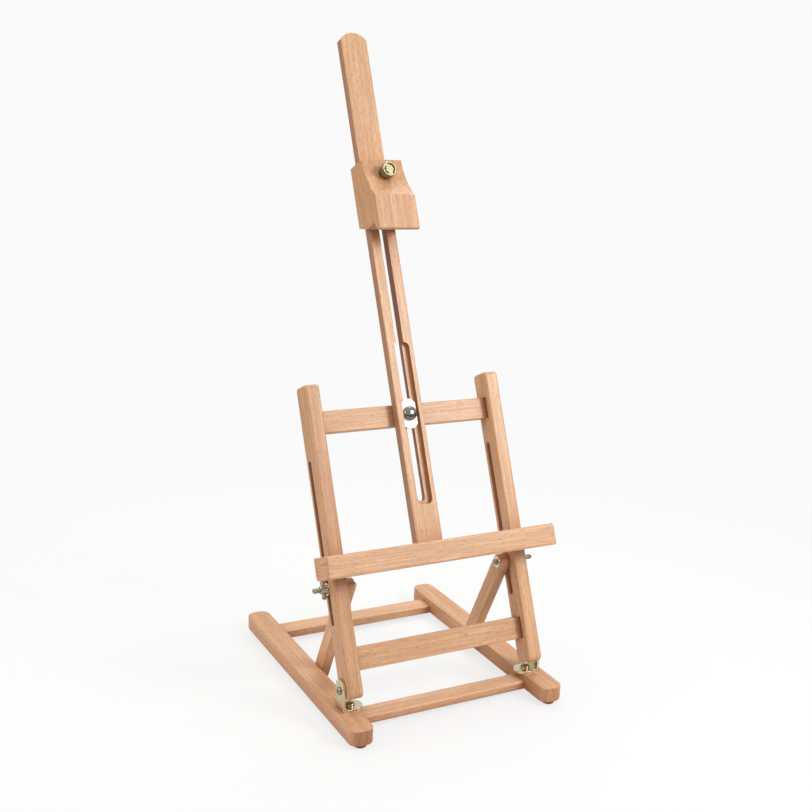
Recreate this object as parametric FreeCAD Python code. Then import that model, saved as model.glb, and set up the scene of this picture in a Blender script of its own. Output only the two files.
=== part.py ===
import FreeCAD, Part
import math
import os

# Tabletop studio easel in beech, in millimetres.  +X is right, +Y is the back, +Z is up.
# The origin is on the surface the easel stands on, under the middle of the base.

# ---- driving dimensions: base ----
base_width = 198.0
base_depth = 238.0
foot_height = 3.5
foot_radius = 5.5
foot_inset = 7.5
foot_spigot_radius = 2.5
foot_spigot_depth = 5.0
rail_width = 20.5
rail_height = 13.5
rail_end_radius = 7.5
rail_arris = 1.1
front_crossbar_y = -91.0
front_crossbar_depth = 17.0
front_crossbar_height = 8.5
rear_crossbar_y = 79.5
rear_crossbar_depth = 18.5
rear_crossbar_height = 7.5
dowel_radius = 2.5
dowel_depth = 8.0

# ---- driving dimensions: leaning frame, in the frame's own directions ----
# "across" runs from the front to the back of the frame, "along" runs up it, both from the pivot.
lean_deg = 24.0
pivot_y = -81.0
pivot_z = 33.5
upright_width = 12.5
upright_front = -13.5
upright_back = 7.0
upright_bottom = -7.5
upright_top = 246.0
upright_end_radius = 3.4
upright_toe_radius = 4.8
upright_arris = 1.8
strut_slot_width = 5.8
strut_slot_low = 54.0
strut_slot_high = 182.5
crossrail_front = -4.8
crossrail_back = 4.0
crossrail_height = 18.6
lower_crossrail_along = 13.0
upper_crossrail_along = 206.0
housing_front = -8.0
housing_depth = 3.0

# ---- driving dimensions: mast, shelf and head ----
mast_width = 24.5
mast_front = -14.0
mast_back = -5.0
mast_bottom = 88.5
mast_top = 550.0
mast_crown = 6.5
recess_width = 15.0
recess_offset = 0.75
recess_floor = -10.0
recess_low = 138.0
recess_high = 276.0
recess_corner = 4.2
mast_slot_width = 7.0
mast_slot_low = 144.5
mast_slot_high = 421.5
shelf_length = 210.6
shelf_front = -42.0
shelf_bottom = 88.5
shelf_height = 18.3
shelf_screw_spacing = 14.0
head_width = 37.6
head_bottom = 364.6
head_height = 64.8
head_lip_front = -45.0
head_top_front = -30.5
head_back = -7.6
head_bolt_along = 417.0
head_lip_height = 29.4
head_cove_sag = 2.9
head_seat = -32.4
head_seat_radius = 5.7
channel_clearance = 0.15

# ---- driving dimensions: struts and metalwork ----
strut_pivot_y = -1.5
strut_pivot_z = 10.5
strut_bolt_along = 81.0
strut_depth = 13.0
strut_thickness = 9.0
side_gap = 0.3
bracket_thickness = 2.0
bracket_width = 15.0
bracket_gap = 0.4
bracket_top_z = 43.0
bracket_flange = 19.9
bracket_screw_inset = 7.4
bracket_screw_length = 8.0
pivot_screw_radius = 2.0
wood_screw_radius = 1.75
small_screw_head = (3.3, 1.6)
large_screw_head = (4.0, 2.6)
bolt_radius = 2.1
bolt_stud_reach = 12.8
bolt_head = (2.9, 2.4)
bolt_washer_radius = 5.0
clamp_bolt_radius = 3.0
running_clearance = 0.05
loose_gap = 0.1
plate_size = (13.2, 25.0, 1.7)
plate_boss = (6.6, 0.8)
plate_corner = 3.4
washer_thickness = 0.8
hand_nut_flats = 12.0
hand_nut_length = 10.6
hand_nut_collar = (5.2, 3.5)
hand_nut_groove = (3.5, 4.9, 1.8)
hand_nut_cap = 2.5
strut_nut_span = 16.5
clamp_nut_span = 21.0
strut_nut_turns = {-1: 2.0, 1: -16.0}

rail_outer = base_width / 2
rail_inner = rail_outer - rail_width
rail_top = foot_height + rail_height
upright_inner = rail_inner
upright_outer = upright_inner + upright_width
strut_outer = rail_inner - side_gap
strut_inner = strut_outer - strut_thickness
clamp_along = upper_crossrail_along + crossrail_height / 2
plate_back = recess_floor - loose_gap
dome_seat = plate_back - plate_size[2] - plate_boss[1]

X_AXIS = FreeCAD.Vector(1, 0, 0)
Y_AXIS = FreeCAD.Vector(0, 1, 0)
Z_AXIS = FreeCAD.Vector(0, 0, 1)
ORIGIN = FreeCAD.Vector(0, 0, 0)
SIDES = {"left": -1, "right": 1}


# ---- small helpers ----
def vec(x, y, z):
    return FreeCAD.Vector(x, y, z)


def block(x, y, z):
    """A box between the low and high limits given for each direction."""
    box = Part.makeBox(x[1] - x[0], y[1] - y[0], z[1] - z[0])
    box.translate(vec(x[0], y[0], z[0]))
    return box


def edges_along(shape, axis):
    """Straight edges of a shape that run along an axis."""
    found = []
    for edge in shape.Edges:
        first, last = edge.Vertexes[0].Point, edge.Vertexes[-1].Point
        run = last.sub(first)
        if run.Length > 0 and abs(abs(run.dot(axis)) - run.Length) < 1e-6:
            found.append(edge)
    return found


def edges_at(shape, axis, level):
    """Edges of a shape that lie wholly at one level along an axis."""
    return [edge for edge in shape.Edges
            if all(abs(vertex.Point.dot(axis) - level) < 1e-4 for vertex in edge.Vertexes)]


def edges_through(shape, axis, points):
    """Straight edges that run along an axis and pass, seen along it, through one of the points."""
    return [edge for edge in edges_along(shape, axis)
            if any(edge.Vertexes[0].Point.sub(point).cross(axis).Length < 1e-4 for point in points)]


def bar(x, y, z, axis, long_radius, end_radius):
    """A planed bar with softened long arrises and softened ends."""
    shape = block(x, y, z)
    shape = shape.makeFillet(long_radius, edges_along(shape, axis))
    limits = {0: x, 1: y, 2: z}[[abs(axis.x), abs(axis.y), abs(axis.z)].index(1)]
    for level in limits:
        shape = shape.makeFillet(end_radius, edges_at(shape, axis, level))
    return shape


def rod(radius, length, base, axis):
    return Part.makeCylinder(radius, length, base, axis)


def slot_cutter(width, low, high, thickness, axis):
    """A round-ended slot along Z, cut through along the given axis over (from, to)."""
    reach = thickness[1] - thickness[0]
    half = width / 2
    start = axis * thickness[0]
    if abs(axis.x) == 1:
        middle = block(thickness, (-half, half), (low, high))
    else:
        middle = block((-half, half), thickness, (low, high))
    ends = [rod(half, reach, start.add(vec(0, 0, level)), axis) for level in (low, high)]
    return middle.fuse(ends)


def onto_frame(shape):
    """Lean a shape built around the pivot back into its place on the easel."""
    shape.rotate(ORIGIN, X_AXIS, -lean_deg)
    shape.translate(vec(0, pivot_y, pivot_z))
    return shape


def mirrored(shape):
    return shape.mirror(ORIGIN, X_AXIS)


def pair(shape):
    """A fastener on the right side and its twin on the left."""
    return [shape, mirrored(shape)]


def save(name, shapes):
    """Write one sub-part, as one solid or as a group of separate solids."""
    shapes = shapes if isinstance(shapes, list) else [shapes]
    solids = [solid for shape in shapes for solid in shape.removeSplitter().Solids]
    whole = solids[0] if len(solids) == 1 else Part.makeCompound(solids)
    whole.exportStep(f"parts/{name}.step")
    box = whole.BoundBox
    print(f"{name:24s} solids {len(solids)}  volume {whole.Volume:9.1f}  valid {whole.isValid()}  "
          f"x {box.XMin:7.1f} {box.XMax:7.1f}  y {box.YMin:7.1f} {box.YMax:7.1f}  "
          f"z {box.ZMin:6.1f} {box.ZMax:6.1f}")


# ---- fasteners ----
def pan_screw(shank_radius, length, head_size):
    """A round-headed screw with its head seat at the origin and its shank along -X."""
    head_radius, head_height = head_size
    head = Part.makeCylinder(head_radius, head_height, ORIGIN, X_AXIS)
    head = head.makeFillet(head_height * 0.7, edges_at(head, X_AXIS, head_height))
    recess_x = (head_height * 0.5, head_height + 1)
    arm = (-head_radius * 0.55, head_radius * 0.55)
    thin = (-0.5, 0.5)
    tip = shank_radius * 1.6
    shank = Part.makeCylinder(shank_radius, length - tip, ORIGIN, X_AXIS * -1)
    point = Part.makeCone(shank_radius, 0.4, tip, vec(-(length - tip), 0, 0), X_AXIS * -1)
    return head.fuse([shank, point]).cut(block(recess_x, arm, thin)).cut(block(recess_x, thin, arm))


def washer(outer_radius, inner_radius, base, axis):
    ring = rod(outer_radius, washer_thickness, base, axis)
    return ring.cut(rod(inner_radius, washer_thickness, base, axis))


def tangent_point(start, centre, radius, turn):
    """Where a line from start touches a circle, in the plane of the wing; turn picks the side."""
    away = math.hypot(start[0] - centre[0], start[1] - centre[1])
    angle = math.atan2(start[1] - centre[1], start[0] - centre[0]) + turn * math.acos(radius / away)
    return centre[0] + radius * math.cos(angle), centre[1] + radius * math.sin(angle)


def wing(span, side):
    """One ear of a wing nut: a round lobe on a tapered web, out along +X and up or down."""
    lobe_radius = span * 0.135
    thickness = span * 0.10
    lobe = (span * 0.18, span / 2 - lobe_radius)
    root_low, root_high = (0.4, span * 0.2), (span * 0.30, span * 0.15)
    touch_low = tangent_point(root_low, lobe, lobe_radius, -1)
    touch_high = tangent_point(root_high, lobe, lobe_radius, 1)
    crest = (lobe[0] + lobe_radius * 0.6, lobe[1] + lobe_radius * 0.8)
    corners = [(0.4, 0.0), root_low, touch_low, crest, touch_high, root_high, (root_high[0], 0.0)]
    outline = [vec(out, -thickness / 2, side * up) for out, up in corners]
    arc = Part.Arc(outline[2], outline[3], outline[4]).toShape()
    lines = [Part.makeLine(outline[k], outline[k + 1]) for k in (0, 1, 4, 5)]
    lines.append(Part.makeLine(outline[6], outline[0]))
    face = Part.Face(Part.Wire(lines[:2] + [arc] + lines[2:]))
    return face.extrude(vec(0, thickness, 0))


def wing_nut(bore_radius, span):
    """A wing nut seated at the origin, opening along +X, with its wings along Z."""
    hub = Part.makeCone(span * 0.23, span * 0.19, span * 0.36, ORIGIN, X_AXIS)
    nut = hub.fuse([wing(span, side) for side in (-1, 1)]).removeSplitter()
    return nut.cut(rod(bore_radius, span, vec(-1, 0, 0), X_AXIS))


# ---- base ----
def base_rail(side):
    """One floor rail: rounded ends, sockets for the feet and for the crossbar dowels."""
    low, high = sorted((side * rail_inner, side * rail_outer))
    rail = block((low, high), (-base_depth / 2, base_depth / 2), (foot_height, rail_top))
    rail = rail.makeFillet(rail_end_radius, edges_along(rail, Z_AXIS))
    for level in (foot_height, rail_top):
        rail = rail.makeFillet(rail_arris, edges_at(rail, Z_AXIS, level))
    for x, y in foot_places():
        if x * side > 0:
            rail = rail.cut(rod(foot_spigot_radius, foot_spigot_depth, vec(x, y, foot_height), Z_AXIS))
    for x, y, z in dowel_places():
        if x * side > 0:
            rail = rail.cut(rod(dowel_radius, dowel_depth, vec(x, y, z), X_AXIS * side))
    screw_x = side * (upright_outer + bracket_gap - bracket_screw_inset)
    screw_tip = rail_top + bracket_thickness - bracket_screw_length
    return rail.cut(rod(wood_screw_radius, rail_height, vec(screw_x, pivot_y, screw_tip), Z_AXIS))


def foot_places():
    x = rail_outer - rail_width / 2
    y = base_depth / 2 - foot_inset
    return [(sx * x, sy * y) for sx in (-1, 1) for sy in (-1, 1)]


def dowel_places():
    """Where each dowel crosses the inner face of a rail: two at each end of both crossbars."""
    places = []
    for y, depth, height in ((front_crossbar_y, front_crossbar_depth, front_crossbar_height),
                             (rear_crossbar_y, rear_crossbar_depth, rear_crossbar_height)):
        for part in (0.27, 0.73):
            places += [(sx * rail_inner, y + depth * part, foot_height + height / 2) for sx in (-1, 1)]
    return places


def crossbar(y, depth, height, edge_radius):
    shape = block((-rail_inner, rail_inner), (y, y + depth), (foot_height, foot_height + height))
    shape = shape.makeFillet(edge_radius, edges_along(shape, X_AXIS))
    for x, dowel_y, z in dowel_places():
        if y < dowel_y < y + depth:
            side = math.copysign(1, x)
            shape = shape.cut(rod(dowel_radius, dowel_depth, vec(x, dowel_y, z), X_AXIS * -side))
    return shape


def base_dowels():
    """Dowels that stop half a millimetre short of the bottom of each hole."""
    dowels = []
    reach = dowel_depth - 0.5
    for x, y, z in dowel_places():
        dowel = rod(dowel_radius, 2 * reach, vec(x - reach, y, z), X_AXIS)
        rims = edges_at(dowel, X_AXIS, x - reach) + edges_at(dowel, X_AXIS, x + reach)
        dowels.append(dowel.makeChamfer(0.5, rims))
    return dowels


def foot(x, y):
    """A turned wooden button glued into the rail by its spigot."""
    button = rod(foot_radius, foot_height, vec(x, y, 0), Z_AXIS)
    button = button.makeFillet(1.6, edges_at(button, Z_AXIS, 0.0))
    return button.fuse(rod(foot_spigot_radius, foot_spigot_depth - 0.3, vec(x, y, foot_height), Z_AXIS))


def bracket(side):
    """The plated angle that carries the frame: a leg outside the upright, a foot on the rail."""
    inner = upright_outer + bracket_gap
    outer = inner + bracket_thickness
    half = bracket_width / 2
    leg = block((inner, outer), (-half, half), (rail_top, bracket_top_z - half))
    crown = rod(half, bracket_thickness, vec(inner, 0, bracket_top_z - half), X_AXIS)
    reach = inner + bracket_thickness - bracket_flange
    flange = block((reach + half, outer), (-half, half), (rail_top, rail_top + bracket_thickness))
    toe = rod(half, bracket_thickness, vec(reach + half, 0, rail_top), Z_AXIS)
    shape = leg.fuse([crown, flange, toe]).removeSplitter()
    bend = [edge for edge in edges_along(shape, Y_AXIS)
            if abs(edge.Vertexes[0].X - outer) < 1e-4 and abs(edge.Vertexes[0].Z - rail_top) < 1e-4]
    shape = shape.makeFillet(bracket_thickness * 0.9, bend)
    shape = shape.cut(rod(pivot_screw_radius + running_clearance, 9, vec(inner - 3, 0, pivot_z), X_AXIS))
    screw_hole = rod(wood_screw_radius, 9, vec(inner - bracket_screw_inset, 0, rail_top - 3), Z_AXIS)
    shape = shape.cut(screw_hole)
    shape.translate(vec(0, pivot_y, 0))
    return shape if side > 0 else mirrored(shape)


def bracket_screws():
    screw = pan_screw(wood_screw_radius, bracket_screw_length, large_screw_head)
    screw.rotate(ORIGIN, Y_AXIS, -90)
    screw_x = upright_outer + bracket_gap - bracket_screw_inset
    screw.translate(vec(screw_x, pivot_y, rail_top + bracket_thickness))
    return pair(screw)


# ---- leaning frame ----
def upright(side):
    """A post with rounded ends, a long slot for the strut bolt and housings for the crossrails."""
    low, high = sorted((side * upright_inner, side * upright_outer))
    post = block((low, high), (upright_front, upright_back), (upright_bottom, upright_top))
    toe = vec(0, upright_front, upright_bottom)
    others = [vec(0, upright_back, upright_bottom), vec(0, upright_front, upright_top),
              vec(0, upright_back, upright_top)]
    post = post.makeFillet(upright_toe_radius, edges_through(post, X_AXIS, [toe]))
    post = post.makeFillet(upright_end_radius, edges_through(post, X_AXIS, others))
    for level in (low, high):
        post = post.makeFillet(upright_arris, edges_at(post, X_AXIS, level))
    slot = slot_cutter(strut_slot_width, strut_slot_low, strut_slot_high, (low - 1, high + 1), X_AXIS)
    post = post.cut(slot)
    pocket = sorted((side * upright_inner, side * (upright_inner + housing_depth)))
    for along in (lower_crossrail_along, upper_crossrail_along):
        post = post.cut(block(pocket, (housing_front, crossrail_back), (along, along + crossrail_height)))
    screw_hole = rod(pivot_screw_radius, 11, vec(side * upright_outer, 0, 0), X_AXIS * -side)
    return onto_frame(post.cut(screw_hole))


def crossrail(along):
    """A flat rail whose ends sit in housings cut in the uprights."""
    reach = upright_inner + housing_depth
    rail = bar((-reach, reach), (crossrail_front, crossrail_back), (along, along + crossrail_height),
               X_AXIS, 1.0, 0.4)
    if along == upper_crossrail_along:
        rail = rail.cut(rod(clamp_bolt_radius, 20, vec(0, -10, clamp_along), Y_AXIS))
    return onto_frame(rail)


def pivot_screws():
    """Screws that hold the uprights in the brackets and act as the hinge pins."""
    grip = bracket_gap + bracket_thickness + loose_gap
    screw = pan_screw(pivot_screw_radius, grip + 10.5, small_screw_head)
    screw.translate(vec(upright_outer + grip, 0, 0))
    return [onto_frame(shape) for shape in pair(screw)]


def clamp_plate():
    """The white slide plate, with a round boss, that runs in the mast's recess."""
    width, length, thickness = plate_size
    boss_radius, boss_height = plate_boss
    plate = block((-width / 2, width / 2), (plate_back - thickness, plate_back),
                  (clamp_along - length / 2, clamp_along + length / 2))
    plate = plate.makeChamfer(plate_corner, edges_along(plate, Y_AXIS))
    boss = rod(boss_radius - 0.2, boss_height, vec(0, plate_back - thickness, clamp_along), Y_AXIS * -1)
    plate = plate.fuse(boss).removeSplitter()
    plate = plate.cut(rod(clamp_bolt_radius, 20, vec(0, -25, clamp_along), Y_AXIS))
    return onto_frame(plate)


def clamp_bolt():
    """The dome-headed bolt that draws the mast against the upper crossrail."""
    dome_height = 4.2
    head = rod(6.2, dome_height, vec(0, dome_seat, clamp_along), Y_AXIS * -1)
    head = head.makeFillet(dome_height - 0.2, edges_at(head, Y_AXIS, dome_seat - dome_height))
    shank = rod(clamp_bolt_radius, crossrail_back + 15 - dome_seat, vec(0, dome_seat, clamp_along), Y_AXIS)
    return onto_frame(head.fuse(shank))


def clamp_washer():
    return onto_frame(washer(7.0, clamp_bolt_radius, vec(0, crossrail_back, clamp_along), Y_AXIS))


def clamp_wing_nut():
    nut = wing_nut(clamp_bolt_radius + running_clearance, clamp_nut_span)
    nut.rotate(ORIGIN, Z_AXIS, 90)
    nut.rotate(ORIGIN, Y_AXIS, 70)
    nut.translate(vec(0, crossrail_back + washer_thickness + loose_gap, clamp_along))
    return onto_frame(nut)


# ---- mast, shelf and head ----
def mast():
    half = mast_width / 2
    shoulder = mast_top - mast_crown
    corners = [vec(-half, mast_front, mast_bottom), vec(half, mast_front, mast_bottom),
               vec(half, mast_front, shoulder), vec(-half, mast_front, shoulder)]
    crown = Part.Arc(corners[2], vec(0, mast_front, mast_top), corners[3]).toShape()
    sides = [Part.makeLine(corners[3], corners[0]), Part.makeLine(corners[0], corners[1]),
             Part.makeLine(corners[1], corners[2])]
    face = Part.Face(Part.Wire(sides + [crown]))
    post = face.extrude(vec(0, mast_back - mast_front, 0))
    post = post.makeFillet(0.9, edges_at(post, Y_AXIS, mast_front))
    post = post.makeFillet(0.9, edges_at(post, Y_AXIS, mast_back))
    recess = block((recess_offset - recess_width / 2, recess_offset + recess_width / 2),
                   (mast_front - 1, recess_floor), (recess_low, recess_high))
    recess = recess.makeFillet(recess_corner, edges_along(recess, Y_AXIS))
    through = (mast_front - 1, mast_back + 1)
    slot = slot_cutter(mast_slot_width, mast_slot_low, mast_slot_high, through, Y_AXIS)
    post = post.cut(recess).cut(slot)
    for x, along in shelf_screw_places():
        post = post.cut(shelf_screw(x, along))
    return onto_frame(post)


def shelf():
    """The ledge the board stands on, screwed across the front of the mast."""
    ledge = bar((-shelf_length / 2, shelf_length / 2), (shelf_front, mast_front),
                (shelf_bottom, shelf_bottom + shelf_height), X_AXIS, 1.8, 1.1)
    for x, along in shelf_screw_places():
        ledge = ledge.cut(shelf_screw(x, along))
    return onto_frame(ledge)


def shelf_screw_places():
    return [(side * shelf_screw_spacing / 2, shelf_bottom + shelf_height / 2) for side in (-1, 1)]


def shelf_screw(x, along):
    """A countersunk screw driven from the back of the mast into the shelf."""
    head = Part.makeCone(3.6, 1.75, 2.2, vec(x, mast_back, along), Y_AXIS * -1)
    shank = rod(1.75, 22, vec(x, mast_back, along), Y_AXIS * -1)
    return head.fuse(shank).removeSplitter()


def head_block():
    """The sliding head: a hooked lip holds the top of the board, a channel straddles the mast."""
    left = -head_width / 2
    base, top = head_bottom, head_bottom + head_height
    cove_start = vec(left, head_lip_front, base + head_lip_height)
    cove_stop = vec(left, head_top_front, top)
    chord = cove_stop.sub(cove_start)
    sag = vec(0, chord.z, -chord.y).normalize() * head_cove_sag
    cove = Part.Arc(cove_start, cove_start.add(chord * 0.5).add(sag), cove_stop).toShape()
    back_and_notch = [(head_back, top), (head_back, base + 12.2), (-22.0, base + 6.9),
                      (-36.8, base + 7.6), (-40.3, base + 0.8), (head_lip_front, base)]
    corners = [cove_stop] + [vec(left, across, along) for across, along in back_and_notch] + [cove_start]
    lines = [Part.makeLine(a, b) for a, b in zip(corners, corners[1:])]
    body = Part.Face(Part.Wire([cove] + lines)).extrude(vec(head_width, 0, 0))
    under = [vec(0, head_lip_front, base), vec(0, *back_and_notch[1])]
    body = body.makeFillet(1.6, edges_through(body, X_AXIS, under))
    for level in (left, -left):
        body = body.makeFillet(0.6, edges_at(body, X_AXIS, level))
    half = mast_width / 2 + channel_clearance
    channel = block((-half, half), (mast_front - channel_clearance, head_back + 1), (base - 1, top + 1))
    bolt_hole = rod(clamp_bolt_radius, 40, vec(0, -45, head_bolt_along), Y_AXIS)
    spot_face = rod(head_seat_radius, 10, vec(0, head_seat, head_bolt_along), Y_AXIS * -1)
    return onto_frame(body.cut(channel).cut(bolt_hole).cut(spot_face))


def head_bolt():
    """A round-headed bolt through the mast's slot and the head block, into the hand nut."""
    seat = mast_back + washer_thickness + loose_gap
    head = rod(6.0, 3.2, vec(0, seat, head_bolt_along), Y_AXIS)
    head = head.makeFillet(2.6, edges_at(head, Y_AXIS, seat + 3.2))
    reach = seat - head_seat + loose_gap + hand_nut_length - hand_nut_cap - 0.5
    shank = rod(clamp_bolt_radius, reach, vec(0, seat, head_bolt_along), Y_AXIS * -1)
    return onto_frame(head.fuse(shank))


def head_washer():
    seat = vec(0, mast_back + loose_gap, head_bolt_along)
    return onto_frame(washer(7.5, clamp_bolt_radius, seat, Y_AXIS))


def head_nut():
    """The long brass hexagon nut, turned by hand, that locks the head on the mast."""
    corner = hand_nut_flats / 2 / math.cos(math.radians(30))
    points = [vec(corner * math.cos(math.radians(60 * k)), 0, corner * math.sin(math.radians(60 * k)))
              for k in range(7)]
    prism = Part.Face(Part.makePolygon(points)).extrude(vec(0, -hand_nut_length, 0))
    turned = rod(corner, hand_nut_length, ORIGIN, Y_AXIS * -1)
    turned = turned.makeChamfer(1.0, edges_at(turned, Y_AXIS, -hand_nut_length))
    collar_radius, collar_length = hand_nut_collar
    collar = rod(collar_radius, collar_length + 1, ORIGIN, Y_AXIS * -1)
    sleeve = rod(corner + 1, collar_length, ORIGIN, Y_AXIS * -1)
    nut = prism.common(turned).cut(sleeve).fuse(collar).removeSplitter()
    boss_radius, groove_radius, groove_depth = hand_nut_groove
    front = vec(0, -hand_nut_length, 0)
    groove = rod(groove_radius, groove_depth, front, Y_AXIS)
    groove = groove.cut(rod(boss_radius, groove_depth, front, Y_AXIS))
    nut = nut.cut(groove).cut(rod(boss_radius, 0.3, front, Y_AXIS))
    bore = rod(clamp_bolt_radius + running_clearance, hand_nut_length - hand_nut_cap, ORIGIN, Y_AXIS * -1)
    nut = nut.cut(bore)
    nut.rotate(ORIGIN, Y_AXIS, 12)
    nut.translate(vec(0, head_seat - loose_gap, head_bolt_along))
    return onto_frame(nut)


# ---- struts ----
def bolt_place():
    """The strut bolt's axis at rest, as Y and Z."""
    lean = math.radians(lean_deg)
    return pivot_y + strut_bolt_along * math.sin(lean), pivot_z + strut_bolt_along * math.cos(lean)


def strut(side):
    """A round-ended stay from the rail's inner face up to the bolt in the upright's slot."""
    bolt_y, bolt_z = bolt_place()
    length = math.hypot(bolt_y - strut_pivot_y, bolt_z - strut_pivot_z)
    half = strut_depth / 2
    middle = block((strut_inner, strut_outer), (-half, half), (0, length))
    ends = [rod(half, strut_thickness, vec(strut_inner, 0, level), X_AXIS) for level in (0, length)]
    stay = middle.fuse(ends).removeSplitter()
    for level in (strut_inner, strut_outer):
        stay = stay.makeFillet(0.9, edges_at(stay, X_AXIS, level))
    stay = stay.cut(rod(bolt_radius + running_clearance, 20, vec(strut_inner - 5, 0, length), X_AXIS))
    stay = stay.cut(rod(pivot_screw_radius, 20, vec(strut_inner - 5, 0, 0), X_AXIS))
    angle = math.degrees(math.atan2(bolt_y - strut_pivot_y, bolt_z - strut_pivot_z))
    stay.rotate(ORIGIN, X_AXIS, -angle)
    stay.translate(vec(0, strut_pivot_y, strut_pivot_z))
    return stay if side > 0 else mirrored(stay)


def strut_pivot_screws():
    screw = pan_screw(pivot_screw_radius, strut_thickness - 0.2, small_screw_head)
    screw.rotate(ORIGIN, Z_AXIS, 180)
    screw.translate(vec(strut_inner, strut_pivot_y, strut_pivot_z))
    return pair(screw)


def strut_bolts():
    """Round-headed bolts from the strut's inner face out through the slot."""
    seat = strut_inner - washer_thickness - loose_gap
    stud_end = upright_outer + bolt_stud_reach
    head_radius, head_height = bolt_head
    head = rod(head_radius, head_height, vec(seat, 0, strut_bolt_along), X_AXIS * -1)
    head = head.makeFillet(head_height * 0.8, edges_at(head, X_AXIS, seat - head_height))
    shank = rod(bolt_radius, stud_end - seat, vec(seat, 0, strut_bolt_along), X_AXIS)
    shank = shank.makeChamfer(0.6, edges_at(shank, X_AXIS, stud_end))
    return [onto_frame(shape) for shape in pair(head.fuse(shank))]


def strut_washers(base_x):
    bore = bolt_radius + running_clearance
    ring = washer(bolt_washer_radius, bore, vec(base_x, 0, strut_bolt_along), X_AXIS)
    return [onto_frame(shape) for shape in pair(ring)]


def strut_wing_nut(side):
    nut = wing_nut(bolt_radius + running_clearance, strut_nut_span)
    nut.rotate(ORIGIN, X_AXIS, strut_nut_turns[side])
    nut.translate(vec(upright_outer + washer_thickness + 2 * loose_gap, 0, strut_bolt_along))
    return onto_frame(nut if side > 0 else mirrored(nut))


def build():
    os.makedirs("parts", exist_ok=True)
    for name, side in SIDES.items():
        save(f"base_rail_{name}", base_rail(side))
        save(f"bracket_{name}", bracket(side))
        save(f"upright_{name}", upright(side))
        save(f"strut_{name}", strut(side))
        save(f"wing_nut_{name}", strut_wing_nut(side))
    save("base_crossbar_front", crossbar(front_crossbar_y, front_crossbar_depth, front_crossbar_height, 2.6))
    save("base_crossbar_rear", crossbar(rear_crossbar_y, rear_crossbar_depth, rear_crossbar_height, 0.9))
    save("base_dowels", base_dowels())
    save("foot_buttons", [foot(x, y) for x, y in foot_places()])
    save("bracket_screws", bracket_screws())
    save("crossrail_lower", crossrail(lower_crossrail_along))
    save("crossrail_upper", crossrail(upper_crossrail_along))
    save("pivot_screws", pivot_screws())
    save("clamp_plate", clamp_plate())
    save("clamp_bolt", clamp_bolt())
    save("clamp_washer", clamp_washer())
    save("clamp_wing_nut", clamp_wing_nut())
    save("mast", mast())
    save("shelf", shelf())
    save("shelf_screws", [onto_frame(shelf_screw(x, along)) for x, along in shelf_screw_places()])
    save("head_block", head_block())
    save("head_bolt", head_bolt())
    save("head_washer", head_washer())
    save("head_nut", head_nut())
    save("strut_pivot_screws", strut_pivot_screws())
    save("strut_bolts", strut_bolts())
    save("strut_washers_inner", strut_washers(strut_inner - washer_thickness - loose_gap / 2))
    save("strut_washers_outer", strut_washers(upright_outer + loose_gap))


build()
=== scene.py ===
import math

import bpy
from mathutils import Matrix, Vector


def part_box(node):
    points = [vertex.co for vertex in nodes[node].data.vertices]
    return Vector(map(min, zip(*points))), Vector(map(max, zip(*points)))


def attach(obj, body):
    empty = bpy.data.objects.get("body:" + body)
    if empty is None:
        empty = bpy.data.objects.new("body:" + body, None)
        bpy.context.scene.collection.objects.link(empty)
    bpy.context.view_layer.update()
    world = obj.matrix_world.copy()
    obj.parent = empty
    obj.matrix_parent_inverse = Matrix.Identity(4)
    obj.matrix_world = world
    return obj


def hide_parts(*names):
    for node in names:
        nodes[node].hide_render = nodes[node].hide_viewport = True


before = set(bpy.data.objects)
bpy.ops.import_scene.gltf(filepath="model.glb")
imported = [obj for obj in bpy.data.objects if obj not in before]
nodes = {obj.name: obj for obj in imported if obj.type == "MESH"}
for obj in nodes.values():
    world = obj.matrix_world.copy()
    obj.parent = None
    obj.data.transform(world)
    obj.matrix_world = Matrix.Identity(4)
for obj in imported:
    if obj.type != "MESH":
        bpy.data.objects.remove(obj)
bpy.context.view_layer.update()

scene = bpy.context.scene

# The frame of the easel leans back; its own directions are along the posts and across them.
LEAN = math.radians(24.0)
ACROSS = Vector((0, math.cos(LEAN), -math.sin(LEAN)))
ALONG = Vector((0, math.sin(LEAN), math.cos(LEAN)))
X, Y, Z = Vector((1, 0, 0)), Vector((0, 1, 0)), Vector((0, 0, 1))
PIVOT = Vector((0, -0.081, 0.0335))

# Fasteners, in metres: head (radius, height), shank (radius, length), thread (start, pitch).
STRUT_BOLT_ALONG = 0.081
STRUT_BOLT_SEAT = 0.0683
STRUT_BOLT_HEAD = (0.0029, 0.0024)
STRUT_BOLT_RADIUS = 0.0021
STRUT_BOLT_THREAD = (0.0225, 0.0007)
CLAMP_ALONG = 0.2153
CLAMP_BOLT_SEAT = 0.0126
CLAMP_BOLT_HEAD = (0.0062, 0.0042)
CLAMP_BOLT_SHANK = (0.0030, 0.0316)
CLAMP_BOLT_THREAD = (0.0160, 0.0010)

# Wing nuts: (span, bore) in metres, and how far the wings are turned, in degrees.
STRUT_WING_NUT = (0.0165, 0.00218)
STRUT_WING_LEANS = ((-1, "left", 22), (1, "right", 40))
CLAMP_NUT_SEAT = 0.0049
CLAMP_WING_NUT = (0.021, 0.00308)
CLAMP_WING_TURN = 70

# Grey levels at heights from straight down, 0, to straight up, 1.
SOFT_ROOM = ((0.0, 0.50), (0.46, 0.52), (0.62, 0.68), (1.0, 0.80))
POLISHED_ROOM = ((0.0, 0.60), (0.45, 0.40), (0.51, 0.06), (0.58, 0.20), (0.65, 0.95),
                 (0.80, 0.55), (1.0, 0.90))
PAPER_WHITE = 0.955
FLOOR_GLOW = 0.745
FLOOR_RADIUS = 2.6
FLOOR_SIDES = 96

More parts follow.
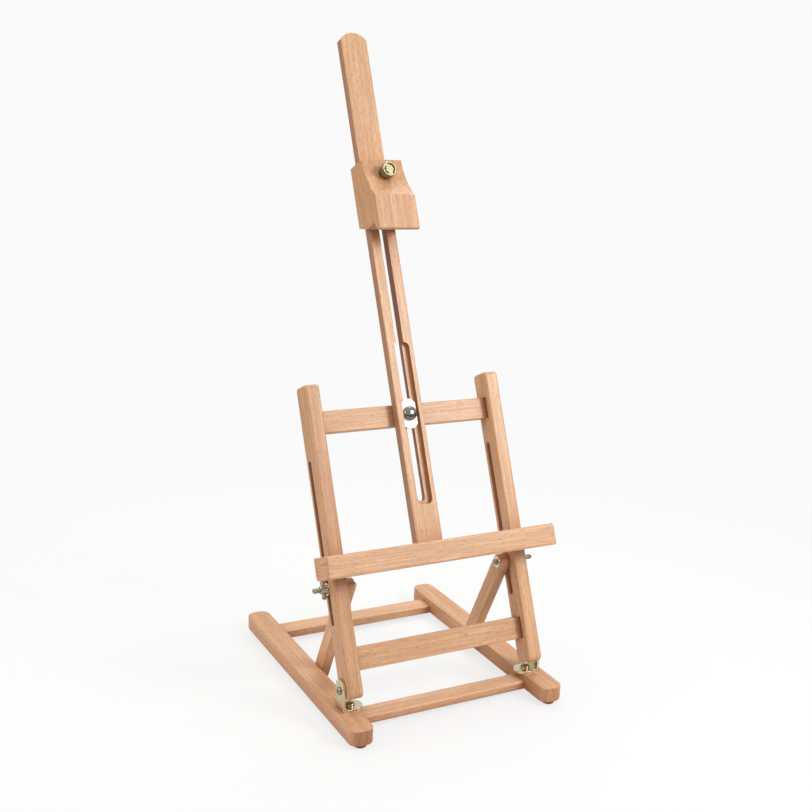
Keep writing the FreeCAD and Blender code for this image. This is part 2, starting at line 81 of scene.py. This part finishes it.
# Square area lights: name, place, power, size, colour.
LIGHTS = (("key", (0.68, -0.92, 0.92), 11.0, 0.42, (1.0, 0.99, 0.97)),
          ("fill", (-1.15, 0.12, 0.75), 6.0, 0.8, (1.0, 0.90, 0.76)),
          ("ceiling", (0.25, 0.55, 1.35), 7.0, 0.9, (0.97, 0.98, 1.0)))
LIGHT_TARGET = Vector((0, 0, 0.22))


# ---------------------------------------------------------------- camera and stage
def make_camera():
    azimuth, elevation, roll = (math.radians(a) for a in (-28.162, 16.53, 2.524))
    target = Vector((-0.00305, 0, 0.1977))
    distance = 0.96438
    back = Vector((math.sin(azimuth) * math.cos(elevation),
                   -math.cos(azimuth) * math.cos(elevation), math.sin(elevation)))
    right = Vector((math.cos(azimuth), math.sin(azimuth), 0))
    up = back.cross(right)
    turned_right = right * math.cos(roll) + up * math.sin(roll)
    turned_up = up * math.cos(roll) - right * math.sin(roll)
    data = bpy.data.cameras.new("camera")
    data.lens = 50.21
    data.sensor_width = 36
    data.shift_x = 0.0049
    data.shift_y = 0.0603
    data.clip_start, data.clip_end = 0.05, 60
    camera = bpy.data.objects.new("camera", data)
    scene.collection.objects.link(camera)
    turn = Matrix((turned_right, turned_up, back)).transposed().to_4x4()
    camera.matrix_world = Matrix.Translation(target + back * distance) @ turn
    scene.camera = camera


def make_floor():
    """White paper that fades out into the background, with only faint shadows on it."""
    angles = [2 * math.pi * k / FLOOR_SIDES for k in range(FLOOR_SIDES)]
    rim = [(FLOOR_RADIUS * math.cos(angle), FLOOR_RADIUS * math.sin(angle), 0) for angle in angles]
    mesh = bpy.data.meshes.new("floor")
    mesh.from_pydata(rim, [], [range(FLOOR_SIDES)])
    floor = bpy.data.objects.new("floor", mesh)
    scene.collection.objects.link(floor)
    n = Nodes("floor_paper")
    away = n.length(n.add("TexCoord").outputs["Object"])
    n.finish(Base_Color=(0.17, 0.17, 0.17, 1), Roughness=0.9, Specular_IOR_Level=0.0,
             Emission_Color=(1, 1, 1, 1), Emission_Strength=FLOOR_GLOW)
    paper = n.add("BsdfDiffuse", Color=(0.66, 0.64, 0.62, 1))
    seen = n.add("LightPath").outputs["Is Camera Ray"]
    both = n.add("MixShader")
    faded = n.add("MixShader")
    clear = n.add("BsdfTransparent")
    link = n.tree.links.new
    link(seen, both.inputs[0])
    link(paper.outputs[0], both.inputs[1])
    link(n.shader.outputs[0], both.inputs[2])
    link(n.ramp(away, 0.30, 0.75), faded.inputs[0])
    link(both.outputs[0], faded.inputs[1])
    link(clear.outputs[0], faded.inputs[2])
    link(faded.outputs[0], n.tree.nodes["Material Output"].inputs[0])
    mesh.materials.append(n.material)


def make_light(name, place, power, size, colour):
    data = bpy.data.lights.new(name, "AREA")
    data.energy = power
    data.color = colour
    data.shape = "RECTANGLE"
    data.size = data.size_y = size
    light = bpy.data.objects.new(name, data)
    scene.collection.objects.link(light)
    light.location = place
    light.rotation_mode = "QUATERNION"
    light.rotation_quaternion = (Vector(place) - LIGHT_TARGET).to_track_quat("Z", "Y")


def room(tree, direction_z, stops):
    """A studio seen by one kind of ray: grey levels at given heights, from down to up."""
    ramp = tree.nodes.new("ShaderNodeValToRGB")
    while len(ramp.color_ramp.elements) < len(stops):
        ramp.color_ramp.elements.new(0.5)
    for element, (height, level) in zip(ramp.color_ramp.elements, stops):
        element.position = height
        element.color = (level, level, level, 1)
    background = tree.nodes.new("ShaderNodeBackground")
    tree.links.new(direction_z, ramp.inputs["Fac"])
    tree.links.new(ramp.outputs["Color"], background.inputs["Color"])
    return background.outputs[0]


def make_world():
    """White paper for the camera, soft light from above, and dark walls in polished metal."""
    world = bpy.data.worlds.new("studio")
    scene.world = world
    world.use_nodes = True
    tree = world.node_tree
    tree.nodes.clear()
    out = tree.nodes.new("ShaderNodeOutputWorld")
    paper = tree.nodes.new("ShaderNodeBackground")
    paper.inputs["Color"].default_value = (PAPER_WHITE, PAPER_WHITE, PAPER_WHITE, 1)
    coord = tree.nodes.new("ShaderNodeTexCoord")
    split = tree.nodes.new("ShaderNodeSeparateXYZ")
    lift = tree.nodes.new("ShaderNodeMapRange")
    lift.inputs["From Min"].default_value = -1
    path = tree.nodes.new("ShaderNodeLightPath")
    link = tree.links.new
    link(coord.outputs["Generated"], split.inputs[0])
    link(split.outputs["Z"], lift.inputs["Value"])
    soft = room(tree, lift.outputs["Result"], SOFT_ROOM)
    polished = room(tree, lift.outputs["Result"], POLISHED_ROOM)
    glossy = tree.nodes.new("ShaderNodeMixShader")
    camera = tree.nodes.new("ShaderNodeMixShader")
    link(path.outputs["Is Glossy Ray"], glossy.inputs[0])
    link(soft, glossy.inputs[1])
    link(polished, glossy.inputs[2])
    link(path.outputs["Is Camera Ray"], camera.inputs[0])
    link(glossy.outputs[0], camera.inputs[1])
    link(paper.outputs[0], camera.inputs[2])
    link(camera.outputs[0], out.inputs[0])


def make_studio():
    make_camera()
    make_floor()
    make_world()
    for light in LIGHTS:
        make_light(*light)
    scene.view_settings.view_transform = "Standard"


# ---------------------------------------------------------------- shader helpers
class Nodes:
    """Short names for building a material's node tree."""

    def __init__(self, name):
        self.material = bpy.data.materials.new(name)
        self.material.use_nodes = True
        self.tree = self.material.node_tree
        self.shader = self.tree.nodes["Principled BSDF"]

    def add(self, kind, **inputs):
        node = self.tree.nodes.new("ShaderNode" + kind)
        for key, value in inputs.items():
            self.put(node, key.replace("_", " "), value)
        return node

    def put(self, node, socket, value):
        if isinstance(value, bpy.types.NodeSocket):
            self.tree.links.new(value, node.inputs[socket])
        else:
            node.inputs[socket].default_value = value

    def math(self, operation, a, b=0.0, clamp=False):
        node = self.tree.nodes.new("ShaderNodeMath")
        node.operation = operation
        node.use_clamp = clamp
        self.put(node, 0, a)
        self.put(node, 1, b)
        return node.outputs[0]

    def vector(self, operation, a, b):
        node = self.tree.nodes.new("ShaderNodeVectorMath")
        node.operation = operation
        self.put(node, 0, a)
        self.put(node, 1, b)
        return node.outputs["Value" if operation == "DOT_PRODUCT" else "Vector"]

    def length(self, vector):
        node = self.add("VectorMath")
        node.operation = "LENGTH"
        self.put(node, 0, vector)
        return node.outputs["Value"]

    def ramp(self, value, low, high, start=0.0, end=1.0):
        """value mapped from low..high to start..end, and held there."""
        node = self.add("MapRange", Value=value)
        node.inputs["From Min"].default_value = low
        node.inputs["From Max"].default_value = high
        node.inputs["To Min"].default_value = start
        node.inputs["To Max"].default_value = end
        return node.outputs["Result"]

    def noise(self, place, stretch, detail=2.0, roughness=0.5, distortion=0.0):
        node = self.add("TexNoise", Vector=self.vector("MULTIPLY", place, stretch), Scale=1.0,
                        Detail=detail, Roughness=roughness, Distortion=distortion)
        return node.outputs["Fac"]

    def mix(self, factor, a, b, blend="MIX"):
        node = self.tree.nodes.new("ShaderNodeMix")
        node.data_type = "RGBA"
        node.blend_type = blend
        self.put(node, 0, factor)
        for socket, colour in ((6, a), (7, b)):
            self.put(node, socket, colour if isinstance(colour, bpy.types.NodeSocket) else (*colour, 1))
        return node.outputs[2]

    def bump(self, height, distance, strength=1.0, normal=None):
        node = self.add("Bump", Height=height, Strength=strength, Distance=distance)
        if normal is not None:
            self.put(node, "Normal", normal)
        return node.outputs["Normal"]

    def bevel(self, radius):
        """The surface normal with arrises rounded over."""
        node = self.add("Bevel", Radius=radius)
        node.samples = 4
        return node.outputs[0]

    def edge(self, radius):
        """0 on flat faces, rising to 1 where an arris turns."""
        geometry = self.add("NewGeometry")
        agree = self.vector("DOT_PRODUCT", self.bevel(radius), geometry.outputs["Normal"])
        return self.ramp(agree, 0.995, 0.86)

    def finish(self, **values):
        for key, value in values.items():
            self.put(self.shader, key.replace("_", " "), value)
        return self.material


# ---------------------------------------------------------------- wood
EDGE_TONE = (0.24, 0.085, 0.040)
YEAR_RING = 0.0026


def tinted(colour, red, green, blue):
    return colour[0] * red, colour[1] * green, colour[2] * blue


def beech(name, grain, face, tone, seed, side_darkening=0.0, end_painted_shade=1.0):
    """Oiled beech: straight fibres, soft rings, short brown ray flecks and pinkish end grain.

    grain is the way the fibres run and face is square to the board's broad side."""
    n = Nodes(name)
    light, dark = tone
    coord = n.add("TexCoord")
    side = grain.cross(face)
    here = n.add("CombineXYZ", X=n.vector("DOT_PRODUCT", coord.outputs["Object"], grain),
                 Y=n.vector("DOT_PRODUCT", coord.outputs["Object"], side),
                 Z=n.vector("DOT_PRODUCT", coord.outputs["Object"], face)).outputs[0]
    place = n.vector("ADD", here, Vector((seed * 0.731, seed * 0.417, seed * 0.293)))

    sway = n.noise(place, (9, 40, 40), 1.0)
    swayed = n.vector("ADD", place, n.add("CombineXYZ", Y=n.ramp(sway, 0, 1, -0.0012, 0.0012),
                                         Z=n.ramp(sway, 0, 1, -0.0008, 0.0008)).outputs[0])
    rings = n.noise(swayed, (3.0, 190, 110), 3.0, 0.55)
    streaks = n.noise(swayed, (15, 560, 480), 3.0, 0.62)
    fibres = n.noise(swayed, (46, 1500, 1300), 2.0, 0.65)
    pores = n.noise(swayed, (420, 3600, 3000), 1.0, 0.5)
    fleck = n.noise(swayed, (210, 1150, 1000), 1.0, 0.4)
    patch = n.noise(place, (9, 30, 30), 2.0)

    colour = n.mix(n.ramp(rings, 0.34, 0.68), light, dark)
    colour = n.mix(n.ramp(streaks, 0.44, 0.66, 0.0, 0.90), colour, tinted(light, 0.76, 0.62, 0.51))
    colour = n.mix(n.ramp(streaks, 0.48, 0.32, 0.0, 0.80), colour, tinted(light, 1.17, 1.19, 1.20))
    colour = n.mix(n.ramp(fibres, 0.47, 0.68, 0.0, 0.70), colour, [c * 0.74 for c in light])
    colour = n.mix(n.ramp(patch, 0.35, 0.7, 0.0, 0.40), colour, tinted(dark, 1.02, 0.90, 0.86))
    fleck_mask = n.ramp(fleck, 0.60, 0.68, 0.0, 0.55)
    colour = n.mix(fleck_mask, colour, tinted(light, 0.58, 0.42, 0.33))
    colour = n.mix(n.ramp(pores, 0.60, 0.74, 0.0, 0.35), colour, tinted(light, 0.60, 0.48, 0.42))
    # Faces square to the board's side are darkened towards a deep red-brown; on the mast these are its side
    # faces and slot walls.
    side_facing = n.math("ABSOLUTE", n.vector("DOT_PRODUCT", coord.outputs["Normal"], side))
    colour = n.mix(n.math("MULTIPLY", n.ramp(side_facing, 0.75, 0.97), side_darkening), colour, EDGE_TONE)

    facing = n.math("ABSOLUTE", n.vector("DOT_PRODUCT", coord.outputs["Normal"], grain))
    end_mask = n.ramp(facing, 0.60, 0.86)
    centre = Vector((0, 0.03 + 0.011 * (seed % 3), -0.05))
    ring_radius = n.length(n.vector("MULTIPLY", n.vector("ADD", here, centre), (0, 1, 1)))
    year = n.math("ADD", n.math("MULTIPLY", ring_radius, 2 * math.pi / YEAR_RING),
                  n.math("MULTIPLY", patch, 3.0))
    year_line = n.ramp(n.math("SINE", year), 0.35, 1.0, 0.0, 0.45)
    end_pores = n.noise(place, (900, 2600, 2600), 2.0, 0.6)
    saw_marks = n.noise(place, (60, 640, 60), 3.0, 0.65)
    # Painted shade: the end grain is darkened by a factor that is below 1 only on the left base rail, whose
    # end lies in shade.
    base = [c * end_painted_shade for c in dark]
    end = n.mix(year_line, tinted(base, 0.94, 0.84, 0.80), tinted(base, 0.72, 0.58, 0.52))
    end = n.mix(n.ramp(saw_marks, 0.48, 0.34, 0.0, 0.75), end, tinted(base, 1.12, 1.16, 1.22))
    end = n.mix(n.ramp(saw_marks, 0.52, 0.68, 0.0, 0.80), end, tinted(base, 0.56, 0.38, 0.28))
    end = n.mix(n.ramp(end_pores, 0.52, 0.72, 0.0, 0.40), end, tinted(base, 0.50, 0.38, 0.34))
    colour = n.mix(end_mask, colour, end)

    # Arrises are lighter: partly rubbed wear, partly a painted highlight where the rounded edges catch the
    # light.
    edge_lightening = n.edge(0.0009)
    colour = n.mix(n.math("MULTIPLY", edge_lightening, n.ramp(patch, 0.3, 0.6, 0.15, 0.5)), colour,
                   [min(1.0, c * 1.14) for c in light])

    # Painted shade: a warm dark red-brown is mixed in wherever ambient occlusion finds corners, gaps and
    # parts tucked under others.
    painted_crevice_shade = n.add("AmbientOcclusion", Distance=0.034)
    painted_crevice_shade.samples = 6
    colour = n.mix(n.ramp(painted_crevice_shade.outputs["AO"], 0.82, 0.30, 0.0, 0.78), colour,
                   tinted(light, 0.56, 0.30, 0.17))

    roughness = n.ramp(fibres, 0.3, 0.7, 0.40, 0.52)
    roughness = n.math("ADD", roughness, n.math("MULTIPLY", end_mask, 0.16))
    roughness = n.math("SUBTRACT", roughness, n.math("MULTIPLY", edge_lightening, 0.08))
    height = n.math("SUBTRACT", n.math("MULTIPLY", fibres, 0.6), n.math("MULTIPLY", fleck_mask, 0.5))
    height = n.math("SUBTRACT", height, n.math("MULTIPLY", n.ramp(pores, 0.6, 0.75), 0.5))
    height = n.math("ADD", height, n.math("MULTIPLY", n.math("MULTIPLY", end_pores, end_mask), 0.8))
    normal = n.bump(height, 0.00010, 0.55)
    return n.finish(Base_Color=colour, Roughness=roughness, Normal=normal, Specular_IOR_Level=0.50,
                    Coat_Weight=0.16, Coat_Roughness=0.30, Sheen_Weight=0.13, Sheen_Roughness=0.45)


# ---------------------------------------------------------------- metal and plastic
def plated(name, colour, roughness, dull, wear_colour, scale=1.0):
    """Plated or polished metal with faint tumbling marks, handling smears and rubbed edges."""
    n = Nodes(name)
    coord = n.add("TexCoord").outputs["Object"]
    smear = n.noise(coord, Vector((1, 1, 1)) * 160 * scale, 3.0, 0.6)
    grain = n.noise(coord, Vector((1, 1, 1)) * 2600 * scale, 2.0, 0.7)
    scratches = n.noise(coord, Vector((300, 2600, 5200)) * scale, 2.0, 0.6)
    edge_lightening = n.edge(0.00035)
    tint = n.mix(n.ramp(smear, 0.35, 0.7, 0.0, 0.6), colour, [c * dull for c in colour])
    tint = n.mix(n.ramp(grain, 0.62, 0.8, 0.0, 0.35), tint, [c * 0.6 for c in colour])
    tint = n.mix(n.math("MULTIPLY", edge_lightening, 0.55), tint, wear_colour)
    rough = n.ramp(smear, 0.3, 0.7, roughness * 0.8, roughness * 1.35)
    rough = n.math("ADD", rough, n.ramp(scratches, 0.6, 0.8, 0.0, 0.10))
    height = n.math("ADD", n.math("MULTIPLY", grain, 0.5), n.math("MULTIPLY", scratches, 0.5))
    normal = n.bump(height, 0.00004, 0.4, n.bevel(0.00030))
    return n.finish(Base_Color=tint, Metallic=1.0, Roughness=rough, Normal=normal)


def moulded_plastic(name, colour):
    """White moulded plastic: fine spark texture, slight waxy depth and scuffed edges."""
    n = Nodes(name)
    coord = n.add("TexCoord").outputs["Object"]
    texture = n.noise(coord, Vector((1, 1, 1)) * 3800, 2.0, 0.6)
    scuffs = n.noise(coord, (500, 1800, 700), 3.0, 0.6)
    tint = n.mix(n.ramp(scuffs, 0.58, 0.75, 0.0, 0.35), colour, [c * 0.88 for c in colour])
    rough = n.ramp(scuffs, 0.4, 0.7, 0.30, 0.45)
    return n.finish(Base_Color=tint, Roughness=rough, Normal=n.bump(texture, 0.00003, 0.35),
                    Subsurface_Weight=0.08, Subsurface_Scale=0.002)


# ---------------------------------------------------------------- turned and cast pieces
def mesh_piece(name, points, faces, material, body, slot_name, *stands_for):
    mesh = bpy.data.meshes.new(name)
    mesh.from_pydata([tuple(point) for point in points], [], faces)
    mesh.update()
    for polygon in mesh.polygons:
        polygon.use_smooth = True
    mesh.materials.append(material)
    piece = bpy.data.objects.new(name, mesh)
    scene.collection.objects.link(piece)
    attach(piece, body)
    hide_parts(*stands_for)
    return piece


def skin(rings):
    """Points and faces of a tube through equal rings, closed at both ends."""
    count = len(rings[0])
    points = [point for ring in rings for point in ring]
    faces = []
    for r in range(len(rings) - 1):
        for k in range(count):
            beside = (k + 1) % count
            faces.append((r * count + k, r * count + beside, (r + 1) * count + beside, (r + 1) * count + k))
    faces.append(tuple(reversed(range(count))))
    faces.append(tuple(range(len(points) - count, len(points))))
    return points, faces


def axes_about(axis):
    """Two directions square to an axis and to each other."""
    first = X if abs(axis.x) < 0.5 else Z
    first = (first - axis * first.dot(axis)).normalized()
    return first, axis.cross(first)


def threaded_bolt(name, seat, axis, head, shank, thread, material, body, node):
    """A round-headed bolt that runs from its seat along its axis, with a real thread."""
    head_radius, head_height = head
    radius, length = shank
    start, pitch = thread
    first, second = axes_about(axis)
    sides = 32
    dome_steps = 12
    per_turn = 8
    rings = []

    def ring(along, size, groove=0.0):
        points = []
        for k in range(sides):
            angle = 2 * math.pi * k / sides
            cut = groove * (0.5 + 0.5 * math.cos(2 * math.pi * along / pitch - angle))
            out = first * math.cos(angle) + second * math.sin(angle)
            points.append(seat + axis * along + out * (size - cut))
        rings.append(points)

    for step in range(1, dome_steps + 1):
        turn = math.pi / 2 * step / dome_steps
        ring(-head_height * math.cos(turn) ** 0.8, head_radius * math.sin(turn))
    ring(0.0, head_radius)
    ring(0.00002, radius)
    ring(start, radius)
    depth = pitch * 0.50
    steps = int((length - start - pitch) / pitch * per_turn)
    for step in range(1, steps + 1):
        fade = min(1.0, step / per_turn)
        ring(start + step * pitch / per_turn, radius, depth * fade)
    ring(length - pitch * 0.5, radius - depth * 0.8)
    ring(length, radius - depth * 1.4)
    points, faces = skin(rings)
    mesh_piece(name, points, faces, material, body, "plated_steel", node)


def wing_rings(span, bore, side):
    """Rings up one wing: a web off the hub that swells into a round, softly edged lobe.

    Its sizes are shares of the span."""
    lobe = span * 0.160
    centre = span / 2 - lobe
    low = bore * 1.12
    steps = 18
    around = 20
    squareness = 0.75
    rings = []
    for step in range(steps + 1):
        up = low + (span / 2 - low - span * 0.002) * math.sin(math.pi / 2 * step / steps)
        from_centre = (up - centre) / lobe
        disc = lobe * 0.84 * math.sqrt(max(0.0, 1 - from_centre ** 2))
        web = span * (0.135 - 0.055 * (up - low) / (centre - low)) if up < centre else 0.0
        half_width = max(disc, web, span * 0.012)
        crown = math.sqrt(max(0.05, 1 - max(0.0, from_centre) ** 4))
        half_thick = span * 0.052 * crown
        ring = []
        for k in range(around):
            angle = 2 * math.pi * k / around
            wide = math.copysign(abs(math.cos(angle)) ** squareness, math.cos(angle))
            thick = math.copysign(abs(math.sin(angle)) ** squareness, math.sin(angle))
            ring.append(Vector((span * 0.175 + half_width * wide, half_thick * thick, side * up)))
        rings.append(ring if side > 0 else list(reversed(ring)))
    return rings


def hub_skin(span, bore):
    """A coned hub with a rolled lip and an open bore, as a closed ring of faces."""
    profile = [(0.0, 0.226), (0.012, 0.232), (0.05, 0.231), (0.20, 0.212), (0.30, 0.200),
               (0.348, 0.190), (0.360, 0.175)]
    chamfer = 0.0002
    outline = [(along * span, radius * span) for along, radius in profile]
    outline += [(0.360 * span, bore + chamfer), (0.350 * span, bore), (0.010 * span, bore),
                (0.0, bore + chamfer)]
    sides = 40
    points, faces = [], []
    for along, radius in outline:
        for k in range(sides):
            angle = 2 * math.pi * k / sides
            points.append(Vector((along, radius * math.cos(angle), radius * math.sin(angle))))
    rows = len(outline)
    for r in range(rows):
        for k in range(sides):
            after, beside = (r + 1) % rows, (k + 1) % sides
            faces.append((r * sides + k, r * sides + beside, after * sides + beside, after * sides + k))
    return points, faces


def wing_nut(name, seat, axis, upward, span, bore, material, body, node):
    """A cast wing nut: hub and wings fused into one soft-edged skin, standing on its seat."""
    points, faces = hub_skin(span, bore)
    for side in (-1, 1):
        wing_points, wing_faces = skin(wing_rings(span, bore, side))
        faces += [tuple(index + len(points) for index in face) for face in wing_faces]
        points += wing_points
    across = upward.cross(axis)
    placed = [seat + axis * point.x + across * point.y + upward * point.z for point in points]
    piece = mesh_piece(name, placed, faces, material, body, "brass", node)
    fuse = piece.modifiers.new("cast", "REMESH")
    fuse.mode = "VOXEL"
    fuse.voxel_size = span / 120
    fuse.use_smooth_shade = True
    soften = piece.modifiers.new("soften", "SMOOTH")
    soften.factor = 0.5
    soften.iterations = 6


def make_wing_nuts(metal):
    """Each piece stands where its CAD nut stands: seat, opening direction and wing direction."""
    bolt = PIVOT + ALONG * STRUT_BOLT_ALONG
    for side, name, lean in STRUT_WING_LEANS:
        node = "wing_nut_" + name
        upward = Matrix.Rotation(math.radians(-lean), 3, "X") @ Z
        low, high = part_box(node)
        seat = Vector((high.x if side < 0 else low.x, bolt.y, bolt.z))
        wing_nut(node + "_cast", seat, X * side, upward, *STRUT_WING_NUT, metal, node, node)
    turn = math.radians(CLAMP_WING_TURN)
    upward = X * math.sin(turn) + ALONG * math.cos(turn)
    seat = PIVOT + ACROSS * CLAMP_NUT_SEAT + ALONG * CLAMP_ALONG
    wing_nut("clamp_wing_nut_cast", seat, ACROSS, upward, *CLAMP_WING_NUT, metal,
             "clamp_wing_nut", "clamp_wing_nut")


def make_bolts(metal, dark_metal):
    bolt = PIVOT + ALONG * STRUT_BOLT_ALONG
    shank = (STRUT_BOLT_RADIUS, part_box("strut_bolts")[1].x - STRUT_BOLT_SEAT)
    for side, name in ((-1, "left"), (1, "right")):
        seat = Vector((side * STRUT_BOLT_SEAT, bolt.y, bolt.z))
        threaded_bolt("strut_bolt_" + name, seat, X * side, STRUT_BOLT_HEAD, shank, STRUT_BOLT_THREAD,
                      metal, "strut_bolts", "strut_bolts")
    seat = PIVOT - ACROSS * CLAMP_BOLT_SEAT + ALONG * CLAMP_ALONG
    threaded_bolt("clamp_bolt_domed", seat, ACROSS, CLAMP_BOLT_HEAD, CLAMP_BOLT_SHANK, CLAMP_BOLT_THREAD,
                  dark_metal, "frame", "clamp_bolt")


# ---------------------------------------------------------------- materials on the CAD nodes
FRONT_TONE = ((0.637, 0.375, 0.204), (0.572, 0.317, 0.161))
# Painted light: the left upright's tone is a darker, shaded copy and the right upright's a lighter, lit
# copy, as light falls from the right.
LEFT_PAINTED_SHADE_TONE = ((0.591, 0.336, 0.178), (0.522, 0.278, 0.139))
RIGHT_PAINTED_LIGHT_TONE = ((0.665, 0.399, 0.217), (0.600, 0.340, 0.174))
MAST_TONE = ((0.655, 0.405, 0.227), (0.596, 0.343, 0.183))
SHELF_TONE = ((0.665, 0.401, 0.232), (0.590, 0.337, 0.179))
HEAD_TONE = ((0.612, 0.345, 0.180), (0.546, 0.285, 0.136))
BASE_TONE = ((0.625, 0.367, 0.198), (0.545, 0.294, 0.145))
CROSSBAR_TONE = ((0.690, 0.430, 0.250), (0.610, 0.350, 0.190))
STRUT_TONE = ((0.663, 0.395, 0.221), (0.576, 0.315, 0.162))
BUTTON_TONE = ((0.340, 0.150, 0.080), (0.280, 0.110, 0.055))
# How far the mast's side faces and slot walls are darkened.
MAST_SIDE_DARKENING = 0.60
# Painted shade on the left base rail's end grain.
LEFT_RAIL_END_PAINTED_SHADE = 0.72


def strut_direction(node):
    """The way a strut runs, from the ends of its box."""
    low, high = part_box(node)
    return Vector((0, low.y - high.y, high.z - low.z)).normalized()


def dress_wood():
    boards = {
        "base_rail_left": (Y, Z, BASE_TONE), "base_rail_right": (Y, Z, BASE_TONE),
        "base_crossbar_front": (X, Z, CROSSBAR_TONE), "base_crossbar_rear": (X, Z, CROSSBAR_TONE),
        "upright_left": (ALONG, ACROSS, LEFT_PAINTED_SHADE_TONE), "upright_right": (ALONG, ACROSS, RIGHT_PAINTED_LIGHT_TONE),
        "crossrail_lower": (X, ACROSS, FRONT_TONE), "crossrail_upper": (X, ACROSS, FRONT_TONE),
        "mast": (ALONG, ACROSS, MAST_TONE), "shelf": (X, ACROSS, SHELF_TONE),
        "head_block": (ALONG, ACROSS, HEAD_TONE),
        "strut_left": (strut_direction("strut_left"), X, STRUT_TONE),
        "strut_right": (strut_direction("strut_right"), X, STRUT_TONE),
        "foot_buttons": (Z, Y, BUTTON_TONE), "base_dowels": (X, Z, BASE_TONE),
    }
    for seed, (node, (grain, face, tone)) in enumerate(boards.items(), start=1):
        darkening = MAST_SIDE_DARKENING if node == "mast" else 0.0
        rail_end_painted_shade = LEFT_RAIL_END_PAINTED_SHADE if node == "base_rail_left" else 1.0
        paint(node, beech("beech_" + node, grain, face, tone, seed, side_darkening=darkening, end_painted_shade=rail_end_painted_shade))


def paint(node, material):
    nodes[node].data.materials.clear()
    nodes[node].data.materials.append(material)


def dress_metal():
    nickel = plated("nickel_plate", (0.78, 0.71, 0.53), 0.24, 0.76, (0.92, 0.88, 0.76))
    zinc = plated("zinc_steel", (0.50, 0.47, 0.38), 0.24, 0.62, (0.74, 0.71, 0.62))
    bronze = plated("bronzed_steel", (0.44, 0.32, 0.18), 0.20, 0.60, (0.78, 0.64, 0.42))
    brass = plated("pale_brass", (0.80, 0.75, 0.54), 0.24, 0.78, (0.90, 0.87, 0.68))
    hand_brass = plated("turned_brass", (0.36, 0.335, 0.205), 0.36, 0.74, (0.56, 0.51, 0.34))
    aged = plated("aged_brass", (0.46, 0.40, 0.24), 0.19, 0.42, (0.90, 0.85, 0.64))
    worn_steel = plated("worn_steel", (0.42, 0.38, 0.27), 0.20, 0.46, (0.84, 0.80, 0.64))
    cast = plated("cast_nickel", (0.60, 0.57, 0.45), 0.22, 0.58, (0.92, 0.90, 0.78))
    chrome = plated("dark_chrome", (0.30, 0.29, 0.25), 0.15, 0.70, (0.48, 0.47, 0.43))
    for names, metal in (
        (("bracket_left", "bracket_right"), nickel),
        (("pivot_screws",), aged),
        (("bracket_screws", "strut_pivot_screws"), bronze),
        (("shelf_screws", "clamp_washer", "head_washer", "strut_bolts"), zinc),
        (("head_nut",), hand_brass),
        (("strut_washers_inner", "strut_washers_outer"), brass),
        (("clamp_bolt", "head_bolt"), chrome),
        (("wing_nut_left", "wing_nut_right", "clamp_wing_nut"), cast),
    ):
        for name in names:
            paint(name, metal)
    paint("clamp_plate", moulded_plastic("white_plastic", (0.88, 0.89, 0.92)))
    make_wing_nuts(cast)
    make_bolts(worn_steel, chrome)


make_studio()
dress_wood()
dress_metal()
